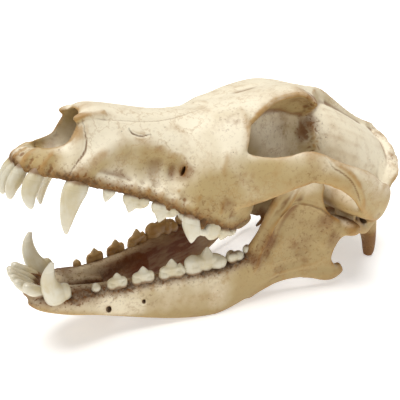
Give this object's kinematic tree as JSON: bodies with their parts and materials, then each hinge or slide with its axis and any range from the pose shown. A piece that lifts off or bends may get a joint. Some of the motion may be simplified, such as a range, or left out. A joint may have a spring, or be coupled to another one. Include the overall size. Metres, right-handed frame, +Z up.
{
  "type": "wolf skull",
  "caption": "Life-size wolf skull with open jaws: cranium with upper teeth and two lower jaw halves, set down as a still display model.",
  "frame": {"origin": "on the floor, under the middle of the skull's bounding box", "axes": "+X from the front teeth to the back of the head, +Y to the animal's right, +Z up from the floor"},
  "size_m": [0.2639, 0.1358, 0.1306],
  "materials": {
    "bone": "matte",
    "enamel": "satin"
  },
  "bodies": {
    "root": {"cranium": "bone", "mandible_left": "bone", "mandible_right": "bone"}
  },
  "joints": []
}
